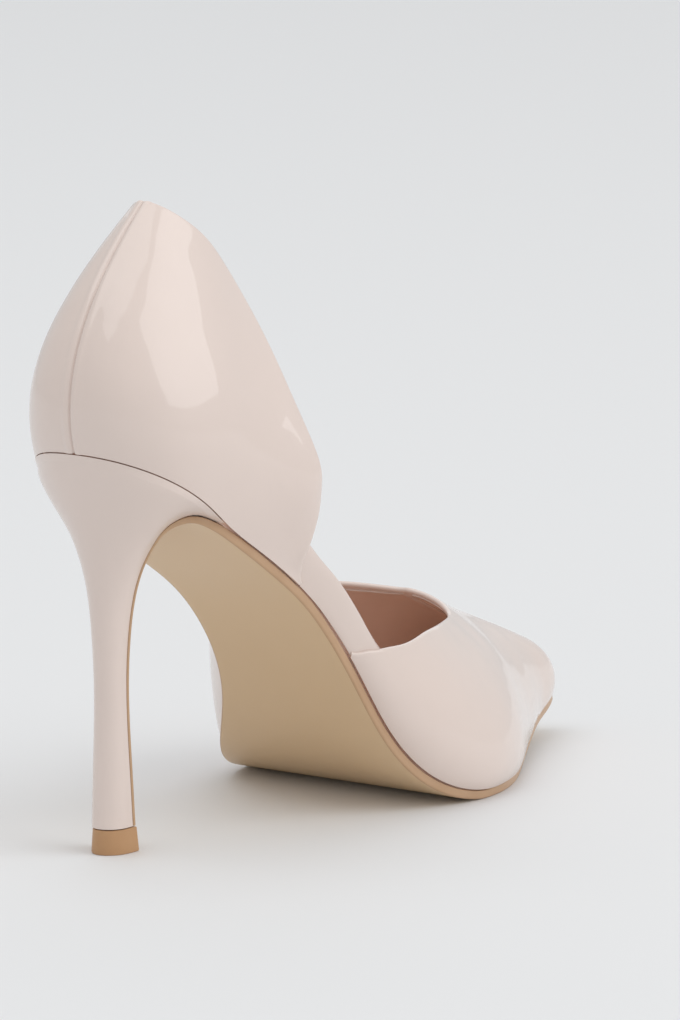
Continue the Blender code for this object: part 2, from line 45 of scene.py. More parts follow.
lastShape = {
    # the line where the upper meets the sole, heel to toe: y, z, x lateral, x medial
    "soleEdge": (
        (-12.0, 100.6, -1.4, -1.4), (-9.6, 99.4, 10.6, -13.2), (-3.0, 95.8, 18.6, -20.6),
        (10.0, 87.6, 22.7, -24.0), (20.0, 80.1, 22.6, -23.8), (29.0, 74.0, 23.3, -22.4),
        (38.5, 67.4, 24.2, -19.8), (48.5, 59.3, 25.1, -17.4), (57.0, 49.8, 26.0, -16.4),
        (64.0, 40.0, 27.0, -16.9), (70.5, 29.2, 28.4, -19.6), (77.5, 18.6, 30.4, -25.6),
        (86.0, 10.2, 33.0, -32.6), (97.0, 4.7, 35.2, -38.0), (108.0, 2.6, 35.8, -40.2),
        (120.0, 2.55, 33.6, -39.4), (132.0, 2.6, 28.4, -36.0), (147.0, 3.6, 19.6, -29.6),
        (163.0, 5.6, 10.4, -22.2), (178.0, 8.2, 2.8, -15.2), (188.5, 10.4, -1.4, -10.8),
        (193.0, 11.4, -6.0, -6.0)),
    # the vamp's ribs, toe to waist: foot y, then the ridge point x, y, z, how far the rib
    # reaches out from the ridge (lateral, medial), the turn of its plane in degrees, how
    # far it bulges over the sole (lateral, medial) and its rise there
    "vampRibs": (
        (193.0, -6.5, 177.6, 28.3, 9.0, 9.0, 90.0, 2.0, 2.0, 7.0),
        (188.0, -6.6, 173.0, 30.0, 10.0, 10.0, 50.0, 2.2, 2.2, 8.0),
        (178.0, -6.9, 165.0, 33.2, 11.0, 11.0, 30.0, 2.6, 2.6, 9.0),
        (163.0, -7.6, 153.5, 37.6, 14.5, 14.0, 26.0, 3.6, 3.4, 11.0),
        (148.0, -8.4, 143.5, 41.8, 17.5, 17.0, 20.0, 5.0, 4.6, 13.0),
        (137.5, -9.6, 135.6, 45.8, 20.5, 24.0, 12.0, 6.6, 5.6, 14.0),
        (127.0, -12.6, 125.6, 51.2, 24.0, 27.0, 6.0, 9.0, 6.0, 15.0),
        (115.0, -15.0, 114.0, 58.0, 28.0, 28.0, 2.0, 11.0, 6.5, 15.0),
        (102.0, -16.0, 101.0, 66.0, 32.0, 27.5, 0.0, 12.0, 7.0, 15.0),
        (89.0, -15.0, 88.0, 75.0, 34.0, 25.0, 0.0, 12.0, 6.6, 14.0),
        (76.0, -13.0, 76.0, 85.0, 33.0, 22.5, 0.0, 10.0, 6.0, 12.0),
        (69.0, -11.6, 69.0, 91.0, 31.5, 21.0, 0.0, 8.0, 5.6, 11.0),
        (62.4, -10.0, 62.4, 97.0, 30.0, 20.0, 0.0, 6.0, 5.0, 10.0)),
    # where the topline cuts them: rib number, then the fraction of the rib that is left
    # under it (lateral, medial); the first is the throat
    "topline": (
        (5.0, 1.0, 1.0), (6.0, 0.681, 0.8), (7.0, 0.604, 0.667), (8.0, 0.539, 0.564),
        (9.0, 0.462, 0.477), (10.0, 0.338, 0.354), (11.0, 0.212, 0.23), (11.5, 0.132, 0.15),
        (12.0, 0.012, 0.024)),
    "throat": 5,
    # ribs of the waist bands, then of the quarter: foot y, then the top point y lateral,
    # y medial, z lateral, z medial, x lateral, x medial, how far the rib bulges out and
    # rises over the sole, how far it comes in and rises to its top, the turn of its plane
    # in degrees, and how evenly it moves forward on its way up: 1 evenly, 0 with both ends
    # upright
    "bandRibs": (
        (66.0, 75.5, 71.0, 38.8, 39.6, 30.2, -21.6, 1.6, 2.0, 1.0, 0.4, 0.0, 0.0),
        (62.6, 72.2, 67.6, 43.2, 44.2, 29.9, -20.4, 1.6, 2.0, 1.0, 0.4, 0.0, 0.0),
        (59.6, 69.2, 64.6, 46.4, 47.0, 29.7, -20.0, 1.4, 2.0, 0.8, 0.6, 0.0, 0.0),
        (55.4, 63.4, 59.4, 54.2, 54.6, 29.0, -19.7, 1.2, 2.4, 0.5, 1.6, 0.0, 0.0),
        (51.4, 56.4, 54.2, 62.6, 62.0, 28.2, -19.4, 1.0, 2.8, 0.4, 2.4, 0.0, 0.0),
        (48.4, 50.4, 49.6, 68.6, 67.6, 27.4, -20.6, 0.8, 3.2, 0.4, 3.0, 0.0, 0.0),
        (44.0, 42.6, 42.6, 76.4, 76.0, 27.4, -25.4, 0.8, 3.8, 0.6, 4.0, 0.0, 0.0)),
    "quarterRibs": (
        (44.2, 44.3, 44.3, 63.6, 63.5, 24.8, -18.4, 0.0, 0.3, 0.1, 0.3, 0.0, 1.0),
        (42.4, 44.6, 44.6, 68.2, 68.0, 25.4, -19.6, 0.1, 1.5, 0.2, 1.5, 0.0, 1.0),
        (40.2, 45.1, 45.1, 74.2, 74.0, 27.6, -23.4, 0.6, 3.0, 0.3, 3.0, 0.0, 1.0),
        (37.6, 46.0, 46.0, 80.8, 80.8, 29.2, -28.0, 1.6, 4.4, 0.0, 4.4, 0.0, 1.0),
        (34.6, 46.4, 46.4, 87.6, 87.6, 29.9, -30.8, 2.7, 6.2, 1.0, 6.2, 0.0, 1.0),
        (31.0, 45.3, 45.3, 95.4, 95.4, 29.6, -32.0, 3.8, 8.0, 2.6, 8.2, 0.0, 1.0),
        (27.0, 41.4, 41.4, 109.6, 109.6, 25.2, -30.8, 5.8, 12.0, 5.8, 13.0, 0.0, 0.7),
        (21.0, 38.6, 38.6, 126.0, 126.0, 17.8, -24.4, 7.4, 17.0, 10.2, 20.0, -5.0, 0.35),
        (13.0, 33.2, 33.2, 142.2, 142.2, 10.8, -17.0, 6.8, 22.0, 15.0, 26.0, -22.0, 0.0),
        (-1.0, 26.6, 26.6, 151.6, 151.6, 7.4, -13.2, 5.6, 22.0, 19.0, 25.0, -46.0, 0.0),
        (-10.0, 19.6, 19.6, 157.6, 157.6, 2.0, -8.2, 6.0, 20.0, 24.0, 23.0, -70.0, 0.0),
        (-12.0, 17.0, 17.0, 159.2, 159.2, -3.0, -3.0, 6.0, 19.0, 22.0, 20.0, -90.0, 0.0)),
}


def cubicThrough(knots, rows, at, start=None, end=None):
    # cubic spline: the tangents solve the usual three-term system, and each stretch is the
    # Hermite blend of its two rows and tangents; start and end fix the end slopes
    knots, rows, at = (np.asarray(v, float) for v in (knots, rows, at))
    gap = np.diff(knots)
    slope = np.diff(rows, axis=0) / gap[:, None]
    mid = np.arange(1, len(knots) - 1)
    system, right = np.zeros((len(knots), len(knots))), np.zeros_like(rows)
    system[mid, mid - 1], system[mid, mid + 1] = gap[1:], gap[:-1]
    system[mid, mid] = 2 * (gap[1:] + gap[:-1])
    right[1:-1] = 3 * (gap[1:, None] * slope[:-1] + gap[:-1, None] * slope[1:])
    system[0, :2] = (2, 1) if start is None else (1, 0)
    system[-1, -2:] = (1, 2) if end is None else (0, 1)
    right[0] = 3 * slope[0] if start is None else start
    right[-1] = 3 * slope[-1] if end is None else end
    tangent = np.linalg.solve(system, right)
    k = np.clip(np.searchsorted(knots, at, side="right") - 1, 0, len(gap) - 1)
    h = gap[k][:, None]
    t = (at - knots[k])[:, None] / h
    return ((2 * t**3 - 3 * t**2 + 1) * rows[k] + (t**3 - 2 * t**2 + t) * h * tangent[k]
            + (3 * t**2 - 2 * t**3) * rows[k + 1] + (t**3 - t**2) * h * tangent[k + 1])


soleEdge = np.array(lastShape["soleEdge"])
soleEdgeSteps = np.linalg.norm(np.diff(soleEdge[:, :3], axis=0), axis=1)
soleEdgeKnots = np.concatenate([[0], np.cumsum(soleEdgeSteps)])


def soleEdgeAt(distance):
    # the sole edge at distances along it; both ends leave the middle of the shoe squarely
    return cubicThrough(soleEdgeKnots, soleEdge, distance, start=(0, 0, 1, -1), end=(0, 0, -1, 1))


def soleEdgeDistance(y):
    # the distance along the sole edge at which it stands at y, looked up on a fine run of it
    fineSteps = 6001
    fine = np.linspace(0, soleEdgeKnots[-1], fineSteps)
    return np.interp(y, np.maximum.accumulate(soleEdgeAt(fine)[:, 0]), fine)


def bezierRibs(p0, p1, p2, p3, rise):
    # one cubic Bezier curve for each row, at that row's own rises 0..1
    t = rise[:, :, None]
    p0, p1, p2, p3 = (p[:, None] for p in (p0, p1, p2, p3))
    return (1 - t)**3 * p0 + 3 * t * (1 - t)**2 * p1 + 3 * t**2 * (1 - t) * p2 + t**3 * p3


def vampTable():
    # numbers and rows of the vamp's ribs, with each foot y made a distance along the edge
    rows = np.array(lastShape["vampRibs"])
    rows[:, 0] = soleEdgeDistance(rows[:, 0])
    return np.arange(len(rows)), rows


def vampCut(ribAt, side):
    # where the topline cuts a rib: whole ribs as far as the throat, then a spline in the
    # square root of the distance from it, so that the topline leaves the ridge squarely
    cuts = np.array(lastShape["topline"])
    column = cuts[:, 1 if side == "lateral" else 2][:, None]
    beyond = np.sqrt(np.maximum(ribAt - cuts[0, 0], 0))
    return cubicThrough(np.sqrt(cuts[:, 0] - cuts[0, 0]), column, beyond)[:, 0]


def vampRibs(ribAt, rise, side):
    # ribs from the sole edge to the ridge over the foot, each in a plane turned forward
    # near the toe; where they reach the ridge they follow its slope, so it is smooth
    number, rows = vampTable()
    row = cubicThrough(number, rows, ribAt)
    near = 0.01
    ahead = cubicThrough(number, rows, ribAt + near) - cubicThrough(number, rows, ribAt - near)
    outward, edge, reach, bulge = (1, 2, 4, 7) if side == "lateral" else (-1, 3, 5, 8)
    foot = soleEdgeAt(row[:, 0])
    turn = np.radians(row[:, 6])
    out = np.stack([outward * np.cos(turn), np.sin(turn), 0 * turn], 1)
    up = np.array([0, 0, 1.0])
    fall = -ahead[:, 3] / ahead[:, 2] * row[:, reach] * np.sin(turn)
    p0 = np.stack([foot[:, edge], foot[:, 0], foot[:, 1]], 1)
    p1 = p0 + out * row[:, bulge, None] + up * row[:, 9, None]
    p2 = row[:, 1:4] + out * row[:, reach, None] - up * fall[:, None]
    return bezierRibs(p0, p1, p2, row[:, 1:4], rise)


def wallRibs(table, ribAt, rise, side):
    # ribs of a band or of the quarter, Bezier curves from the sole edge to the top edge: the
    # first handle goes out and up, the second out and down, and both forward for the lean
    rows = np.array(table)
    rows[:, 0] = soleEdgeDistance(rows[:, 0])
    row = cubicThrough(np.arange(len(rows)), rows, ribAt)
    foot = soleEdgeAt(row[:, 0])
    outward, edge, shift = (1, 2, 0) if side == "lateral" else (-1, 3, 1)
    turn = np.radians(row[:, 11])
    out = np.stack([outward * np.cos(turn), np.sin(turn), 0 * turn], 1)
    up = np.array([0, 0, 1.0])
    p0 = np.stack([foot[:, edge], foot[:, 0], foot[:, 1]], 1)
    p3 = np.stack([row[:, 5 + shift], row[:, 1 + shift], row[:, 3 + shift]], 1)
    p1 = p0 + out * row[:, 7, None] + up * row[:, 8, None]
    p2 = p3 + out * row[:, 9, None] - up * row[:, 10, None]
    ahead = np.array([0, 1.0, 0]) * (row[:, 12] * (p3[:, 1] - p0[:, 1]) / 3)[:, None]
    return bezierRibs(p0, p1 + ahead, p2 - ahead, p3, rise)


def unitVectors(vectors):
    # vectors over their lengths; one of almost no length stays near nought
    tiny = 1e-9
    return vectors / np.maximum(np.linalg.norm(vectors, axis=-1, keepdims=True), tiny)


def gridNormals(grid):
    # the direction from row to row times the direction along a row, both of length one, so
    # that the product is short where the two run together; a few passes of 1 2 1 weights
    # from row to row then let the long ones outweigh it
    blurPasses = 6
    normal = np.cross(*(unitVectors(np.gradient(grid, axis=k)) for k in (0, 1)))
    for _ in range(blurPasses):
        normal[1:-1] = (normal[:-2] + 2 * normal[1:-1] + normal[2:]) / 4
    return unitVectors(normal)


def gridFaces(index):
    # one quad for each cell of a grid of point numbers
    return np.stack([index[:-1, :-1], index[1:, :-1], index[1:, 1:], index[:-1, 1:]], -1).reshape(-1, 4)


def rolledEdge(outer, inner, steps):
    # half round from the outer to the inner edge points: centre + n r cos a + u r sin a,
    # with n across the wall and u square to the edge line, away from the leather
    middle, half = (outer + inner) / 2, (outer - inner) / 2
    radius = np.linalg.norm(half, axis=1, keepdims=True)
    n = half / radius
    along = np.gradient(middle, axis=0)
    u = np.cross(n, along)
    u /= np.linalg.norm(u, axis=1, keepdims=True)
    a = np.linspace(0, math.pi, steps)[None, :, None]
    return middle[:, None] + (n[:, None] * np.cos(a) + u[:, None] * np.sin(a)) * radius[:, None]


def gridUv(grid):
    # u adds up the rows' mean distances apart, v the lengths along each row; millimetres
    apart = np.linalg.norm(np.diff(grid, axis=0), axis=2).mean(axis=1)
    along = np.linalg.norm(np.diff(grid, axis=1), axis=2)
    u = np.concatenate([[0], np.cumsum(apart)])[:, None] + 0 * grid[:, :, 0]
    v = np.concatenate([0 * along[:, :1], np.cumsum(along, axis=1)], axis=1)
    return np.stack([u, v], -1)


def addPiece(name, grids, materials, smoothAngle=50):
    # one mesh from several grids: (points, material number of all or of each face), joined
    # where they touch, its open ends closed, with its normals turned outwards
    weld = 2e-6
    points, faces, slots, uv, start = [], [], [], [], 0
    for grid, slot in grids:
        index = np.arange(grid.shape[0] * grid.shape[1]).reshape(grid.shape[:2]) + start
        faces.append(gridFaces(index))
        slots.append(np.zeros(len(faces[-1]), int) + np.ravel(slot))
        points.append(grid.reshape(-1, 3) / 1000)
        uv.append(gridUv(grid).reshape(-1, 2) / 1000)
        start += index.size
    points, faces, slots, uv = (np.concatenate(v) for v in (points, faces, slots, uv))
    mesh = bpy.data.meshes.new(name)
    mesh.from_pydata(points, [], faces.tolist())
    mesh.polygons.foreach_set("material_index", slots.astype(np.int32))
    layer = mesh.uv_layers.new(name="surface")
    loops = np.empty(len(mesh.loops), np.int32)
    mesh.loops.foreach_get("vertex_index", loops)
    layer.data.foreach_set("uv", uv[loops].astype(np.float32).ravel())
    data = bmesh.new()
    data.from_mesh(mesh)
    bmesh.ops.remove_doubles(data, verts=data.verts, dist=weld)
    bmesh.ops.holes_fill(data, edges=[edge for edge in data.edges if edge.is_boundary], sides=0)
    bmesh.ops.recalc_face_normals(data, faces=data.faces)
    data.to_mesh(mesh)
    data.free()
    mesh.shade_smooth()
    mesh.set_sharp_from_angle(angle=math.radians(smoothAngle))
    piece = bpy.data.objects.new(name, mesh)
    bpy.context.scene.collection.objects.link(piece)
    for material in materials:
        mesh.materials.append(material)
    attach(piece, "root")
    print("made", name, len(mesh.polygons), "faces")
    return piece


# Materials

def newGroup(name, inputs, outputs):
    # a node group with named sockets: (name, kind, value) for inputs, (name, kind) for outputs
    group = bpy.data.node_groups.new(name, "ShaderNodeTree")
    for label, kind, value in inputs:
        socket = group.interface.new_socket(label, in_out="INPUT", socket_type=kind)
        socket.default_value = value
    for label, kind in outputs:
        group.interface.new_socket(label, in_out="OUTPUT", socket_type=kind)
    nodes = group.nodes
    return group, nodes.new("NodeGroupInput"), nodes.new("NodeGroupOutput")


def makeGrainGroup():
    # leather grain as a height: fine cells mixed with a soft noise
    group, source, result = newGroup(
        "leatherGrain",
        (("Scale", "NodeSocketFloat", 900.0), ("Softness", "NodeSocketFloat", 0.5)),
        (("Height", "NodeSocketFloat"),))
    nodes, links = group.nodes, group.links
    place = nodes.new("ShaderNodeTexCoord")
    cells = nodes.new("ShaderNodeTexVoronoi")
    soft = nodes.new("ShaderNodeTexNoise")
    mix = nodes.new("ShaderNodeMix")
    cells.feature = "SMOOTH_F1"
    soft.inputs["Detail"].default_value = 4.0
    links.new(place.outputs["Object"], cells.inputs["Vector"])
    links.new(place.outputs["Object"], soft.inputs["Vector"])
    links.new(source.outputs["Scale"], cells.inputs["Scale"])
    links.new(source.outputs["Scale"], soft.inputs["Scale"])
    # the Mix node's sockets: 0 the factor, 2 and 3 two numbers, 6 and 7 two colours
    links.new(source.outputs["Softness"], mix.inputs[0])
    links.new(cells.outputs["Distance"], mix.inputs[2])
    links.new(soft.outputs["Fac"], mix.inputs[3])
    links.new(mix.outputs[0], result.inputs["Height"])
    return group


def makeToneGroup():
    # slow drift between two tones of one colour, as on a hide
    group, source, result = newGroup(
        "hideTone",
        (("Light Tone", "NodeSocketColor", (0.8, 0.8, 0.8, 1)),
         ("Deep Tone", "NodeSocketColor", (0.6, 0.6, 0.6, 1)),
         ("Scale", "NodeSocketFloat", 20.0)),
        (("Colour", "NodeSocketColor"),))
    nodes, links = group.nodes, group.links
    place = nodes.new("ShaderNodeTexCoord")
    drift = nodes.new("ShaderNodeTexNoise")
    mix = nodes.new("ShaderNodeMix")
    mix.data_type = "RGBA"
    drift.inputs["Detail"].default_value = 3.0
    links.new(place.outputs["Object"], drift.inputs["Vector"])
    links.new(source.outputs["Scale"], drift.inputs["Scale"])
    links.new(drift.outputs["Fac"], mix.inputs[0])
    links.new(source.outputs["Light Tone"], mix.inputs[6])
    links.new(source.outputs["Deep Tone"], mix.inputs[7])
    links.new(mix.outputs[2], result.inputs["Colour"])
    return group


grainGroup, toneGroup = makeGrainGroup(), makeToneGroup()


def newMaterial(name, finish):
    # a Principled shader whose colour drifts between the finish's light and deep tones
    material = bpy.data.materials.new(name)
    material.use_nodes = True
    nodes, links = material.node_tree.nodes, material.node_tree.links
    shader = nodes["Principled BSDF"]
    shader.inputs["Roughness"].default_value = finish["roughness"]
    tone = nodes.new("ShaderNodeGroup")
    tone.node_tree = toneGroup
    tone.inputs["Light Tone"].default_value = (*finish["light"], 1)
    tone.inputs["Deep Tone"].default_value = (*finish["deep"], 1)
    tone.inputs["Scale"].default_value = finish["toneScale"]
    links.new(tone.outputs["Colour"], shader.inputs["Base Color"])
    return material, nodes, links, shader


def makeGrained(name, finish):
    # newMaterial with a grain that bumps the surface; its depth is in metres
    material, nodes, links, shader = newMaterial(name, finish)
    grain, bump = nodes.new("ShaderNodeGroup"), nodes.new("ShaderNodeBump")
    grain.node_tree = grainGroup
    grain.inputs["Scale"].default_value = finish["grainScale"]
    grain.inputs["Softness"].default_value = finish["grainSoftness"]
    bump.inputs["Distance"].default_value = finish["grainDepth"]
    bump.inputs["Strength"].default_value = finish["grainStrength"]
    links.new(grain.outputs["Height"], bump.inputs["Height"])
    links.new(bump.outputs["Normal"], shader.inputs["Normal"])
    return material


patentFinish = {
    "light": (0.800, 0.675, 0.612), "deep": (0.765, 0.632, 0.565), "toneScale": 14.0,
    "roughness": 0.42, "coatRoughness": 0.035, "coatIor": 1.5,
    "waveScale": 42.0, "waveDetail": 1.5, "waveDepth": 0.0022, "waveStrength": 0.5,
}


def makePatent():
    # pigmented leather under a thick clear lacquer that follows slow waves in the hide
    finish = patentFinish
    material, nodes, links, shader = newMaterial("patent_leather_blush", finish)
    shader.inputs["Coat Weight"].default_value = 1.0
    shader.inputs["Coat Roughness"].default_value = finish["coatRoughness"]
    shader.inputs["Coat IOR"].default_value = finish["coatIor"]
    place = nodes.new("ShaderNodeTexCoord")
    wave = nodes.new("ShaderNodeTexNoise")
    bump = nodes.new("ShaderNodeBump")
    wave.inputs["Scale"].default_value = finish["waveScale"]
    wave.inputs["Detail"].default_value = finish["waveDetail"]
    bump.inputs["Strength"].default_value = finish["waveStrength"]
    bump.inputs["Distance"].default_value = finish["waveDepth"]
    links.new(place.outputs["Object"], wave.inputs["Vector"])
    links.new(wave.outputs["Fac"], bump.inputs["Height"])
    links.new(bump.outputs["Normal"], shader.inputs["Coat Normal"])
    links.new(bump.outputs["Normal"], shader.inputs["Normal"])
    return material


liningFinish = {
    "light": (0.78, 0.58, 0.48), "deep": (0.72, 0.51, 0.41), "toneScale": 40.0, "roughness": 0.48,
    "grainScale": 1500.0, "grainSoftness": 0.6, "grainDepth": 0.00012, "grainStrength": 0.35,
}

soleFinish = {
    "light": (0.74, 0.54, 0.335), "deep": (0.68, 0.485, 0.29), "toneScale": 18.0, "roughness": 0.36,
    "grainScale": 700.0, "grainSoftness": 0.8, "grainDepth": 0.0001, "grainStrength": 0.18,
}

soleEdgeFinish = {
    "light": (0.58, 0.375, 0.225), "deep": (0.49, 0.30, 0.17), "toneScale": 120.0, "roughness": 0.32,
    "grainScale": 1800.0, "grainSoftness": 0.9, "grainDepth": 0.0001, "grainStrength": 0.25,
}

tipFinish = {
    "light": (0.55, 0.32, 0.16), "deep": (0.47, 0.255, 0.12), "toneScale": 90.0, "roughness": 0.45,
    "grainScale": 2600.0, "grainSoftness": 0.7, "grainDepth": 0.00008, "grainStrength": 0.3,
}

patent = makePatent()
lining = makeGrained("lining_kid_dusky_pink", liningFinish)
soleLeather = makeGrained("sole_leather_beige", soleFinish)
soleEdgeStain = makeGrained("sole_edge_stain", soleEdgeFinish)
tipRubber = makeGrained("heel_tip_tan", tipFinish)
print("materials made")

# Upper

upperMake = {
    "wall": 1.8,            # leather, stiffener and lining together
    "foldedEdge": 1.45,     # thickness of the folded top edge
    "foldDepth": 1.6,       # how far the patent leather turns inside
    "foldSteps": 9,
    # points down the inside of a rib, in fold depths: on the fold, then on the lining
    "foldPoints": (0, 0.3, 0.6, 0.85, 0.97), "liningPoints": (1.0, 1.05, 1.2, 1.6, 2.4),
    "liningStep": 0.12,     # the width of the step down to the quarter's lining
    "ribRises": 56,
    "vampRows": (84, 76), "toePacking": 1.35, "quarterRows": 150, "peakPacking": 1.5,
    "bandRows": 70, "bandRises": 26,
    "bandInset": 0.7, "bandInner": 1.72,    # both faces of a band, under the wall's outside
    "seamGroove": 0.5, "seamHalfWidth": 0.3,
    "seamPillow": 0.24, "seamPillowWidth": 1.5, "seamPillowSpread": 0.9,
}


def innerRises(length):
    # fractions of a rib counted down from its top edge: the points of the fold and of the
    # first of the lining, then even steps to the sole; one row for each rib's length
    u = upperMake
    ribShare = 0.9
    near = np.array(u["foldPoints"] + u["liningPoints"]) * u["foldDepth"]
    far = np.linspace(0, 1, u["ribRises"])[1:]
    down = np.concatenate([np.minimum(near[None], length[:, None] * ribShare),
                           near[-1] + (length[:, None] - near[-1]) * far[None]], axis=1)
    down = np.maximum.accumulate(np.minimum(down, length[:, None]), axis=1)
    return np.clip(1 - down / length[:, None], 0, 1)


def wallFaces(surface, cut):
    # the outside of a wall from the sole up, the same points from the top edge down for its
    # inside, and the inside's normals; cut is how much of each rib is left
    lengthSteps = 24
    coarse = surface(np.linspace(0, 1, lengthSteps)[None] * cut[:, None])
    length = np.linalg.norm(np.diff(coarse, axis=1), axis=2).sum(axis=1)
    grid = surface(innerRises(length) * cut[:, None])
    return grid[:, ::-1], grid, -gridNormals(grid)


def ridgeTogether(normal, throatRow):
    # both halves meet on the ridge over the toes: there a normal is the mean of the two
    last = len(normal) - 1
    toe = np.arange(throatRow, last // 2 + 1)
    mean = unitVectors(normal[toe, 0] + normal[last - toe, 0])
    normal[toe, 0] = mean
    normal[last - toe, 0] = mean
    return normal


def makeVamp():
    # ribs from the outer waist to the toe and back to the inner waist: behind the throat
    # they end at the topline and stand closer towards the throat, at squares of even steps;
    # ahead of it both halves reach the ridge and are joined there
    u = upperMake
    throat, last = lastShape["throat"], len(lastShape["vampRibs"]) - 1
    waistRows, toeRows = u["vampRows"]
    beyond = throat + np.linspace(math.sqrt(last - throat), 0, waistRows)**2
    toe = throat * np.linspace(1, 0, toeRows)[1:]**u["toePacking"]
    oneSide = np.concatenate([beyond, toe])
    otherSide = oneSide[-2::-1]

    def surface(rise):
        lateral = vampRibs(oneSide, rise[:len(oneSide)], "lateral")
        medial = vampRibs(otherSide, rise[len(oneSide):], "medial")
        return np.concatenate([lateral, medial])

    cut = np.concatenate([vampCut(oneSide, "lateral"), vampCut(otherSide, "medial")])
    outer, inner, normal = wallFaces(surface, cut)
    foldColumns = len(u["foldPoints"])
    depth = np.full(inner.shape[:2], u["wall"])
    free = np.concatenate([oneSide, otherSide]) >= throat
    depth[free, :foldColumns] = u["foldedEdge"]
    throatRow = waistRows - 1
    inner = inner - ridgeTogether(normal, throatRow) * depth[:, :, None]
    # the topline's row of edge points, from waist to waist past the throat
    path = np.concatenate([np.arange(waistRows), np.arange(len(cut) - throatRow, len(cut))])
    edge = rolledEdge(outer[path, -1], inner[path, 0], u["foldSteps"])
    bottom = np.stack([inner[:, -1], outer[:, 0]], axis=1)
    folded, lined = inner[:, :foldColumns + 1], inner[:, foldColumns:]
    grids = [(outer, 0), (edge, 0), (folded, 0), (lined, 1), (bottom, 1)]
    return addPiece("vamp", grids, (patent, lining))


def makeQuarter():
    # ribs from the inner front edge round the heel to the outer one, closer at the peak;
    # the outside has a groove with a swelling on both sides down the middle of the back
    u = upperMake
    table = lastShape["quarterRibs"]
    back = len(table) - 1
    oneSide = back * (1 - np.linspace(1, 0, u["quarterRows"])**u["peakPacking"])
    otherSide = oneSide[-2::-1]

    def surface(rise):
        medial = wallRibs(table, oneSide, rise[:len(oneSide)], "medial")
        lateral = wallRibs(table, otherSide, rise[len(oneSide):], "lateral")
        return np.concatenate([medial, lateral])

    outer, inner, innerNormal = wallFaces(surface, np.ones(len(oneSide) + len(otherSide)))
    rim = np.concatenate([outer[0, ::2], outer[:, -1], outer[-1, ::2]])
    fromRim = np.linalg.norm(inner[:, :, None] - rim[None, None], axis=3).min(axis=2)
    lined = np.clip((fromRim - u["foldDepth"]) / u["liningStep"], 0, 1)
    depth = u["foldedEdge"] + (u["wall"] - u["foldedEdge"]) * lined
    normal = gridNormals(outer)
    middle = len(oneSide) - 1
    away = np.linalg.norm(outer - outer[middle][None], axis=2)
    groove = u["seamGroove"] * np.exp(-(away / u["seamHalfWidth"])**2)
    pillow = u["seamPillow"] * np.exp(-((away - u["seamPillowWidth"]) / u["seamPillowSpread"])**2)
    outer = outer - normal * (groove - pillow)[:, :, None]
    inner = inner - innerNormal * depth[:, :, None]
    outerPath = np.concatenate([outer[0, :-1], outer[:, -1], outer[-1, -2::-1]])
    innerPath = np.concatenate([inner[0, :0:-1], inner[:, 0], inner[-1, 1:]])
    edge = rolledEdge(outerPath, innerPath, u["foldSteps"])
    bottom = np.stack([inner[:, -1], outer[:, 0]], axis=1)
    # a face is lining where its four corners add up to more than half
    corners = lined[:-1, :-1] + lined[1:, :-1] + lined[:-1, 1:] + lined[1:, 1:]
    linedFace = (corners > 2).astype(int)
    grids = [(outer, 0), (edge, 0), (inner, linedFace), (bottom, 1)]
    return addPiece("quarter", grids, (patent, lining))


def makeBand(side):
    # a low wall between vamp and quarter, thin enough to lie under the edges of both
    u = upperMake
    ribAt = np.linspace(0, len(lastShape["bandRibs"]) - 1, u["bandRows"])
    if side == "lateral":
        ribAt = ribAt[::-1]
    rise = np.linspace(0, 1, u["bandRises"])[None] + 0 * ribAt[:, None]
    base = wallRibs(lastShape["bandRibs"], ribAt, rise, side)
    normal = gridNormals(base)
    outer, inner = base - normal * u["bandInset"], (base - normal * u["bandInner"])[:, ::-1]
    edge = rolledEdge(outer[:, -1], inner[:, 0], u["foldSteps"])
    bottom = np.stack([inner[:, -1], outer[:, 0]], axis=1)
    grids = [(outer, 0), (edge, 0), (inner, 1), (bottom, 1)]
    return addPiece("waist_band_" + side, grids, (patent, lining))


vamp, quarter = makeVamp(), makeQuarter()
bands = [makeBand("lateral"), makeBand("medial")]
for piece in (vamp, quarter, *bands):
    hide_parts("upper")
print("upper made")

# Sole

soleMake = {
    # the gap under the upper, the thickness, its least down the heel and how much less it is
    # at each of the heel's rows, and how far the sides stand in from the sole edge
    "gap": 0.3, "thickness": 2.3, "onHeel": 1.1, "thinning": 0.3, "inset": 0.5,
    "toeStart": 132.0, "shankEnd": 29.0,    # y where the toe's rows end and the shank's do
    "turn": (20.0, 77.2, 22.2),             # y, z and half width where the shank turns down
    "cornerRadius": 0.55, "topCorner": 0.15,
    # the outsole down the heel's front, seat to tip: front y, front z, half width there,
    # then the back of the heel's section y, z and its half width at the middle
    "heel": (
        (14.0, 81.0, 20.6, -11.6, 98.6, 22.6), (10.2, 82.3, 17.8, -10.6, 94.5, 20.6),
        (7.4, 80.8, 14.2, -9.2, 89.5, 16.8), (5.8, 77.2, 11.0, -7.5, 83.5, 12.4),
        (4.8, 71.5, 8.0, -5.9, 76.0, 8.6), (4.2, 63.0, 5.4, -4.8, 66.0, 5.7),
        (3.8, 53.0, 4.1, -4.2, 54.0, 4.3), (3.5, 42.0, 3.7, -3.8, 42.0, 3.85),
        (3.9, 22.0, 4.1, -4.3, 22.0, 4.2), (4.5, 6.5, 4.5, -4.9, 6.5, 4.6)),
    "lean": -0.6,           # x of the heel's middle at its seat, nought at the floor
    "seatFront": 17.0,      # y of the front of the heel's seat
    # rows for each of the heel's, in the toe and in the shank, then points in a section
    "perRow": 8, "toeRows": 48, "shankRows": 80, "flatPoints": 19, "cornerPoints": 5,
    "toeFirst": 0.02, "toePacking": 1.5,    # first step of the toe's rows, and their easing
    "heelPoints": 44,       # in half a ring of the heel
}


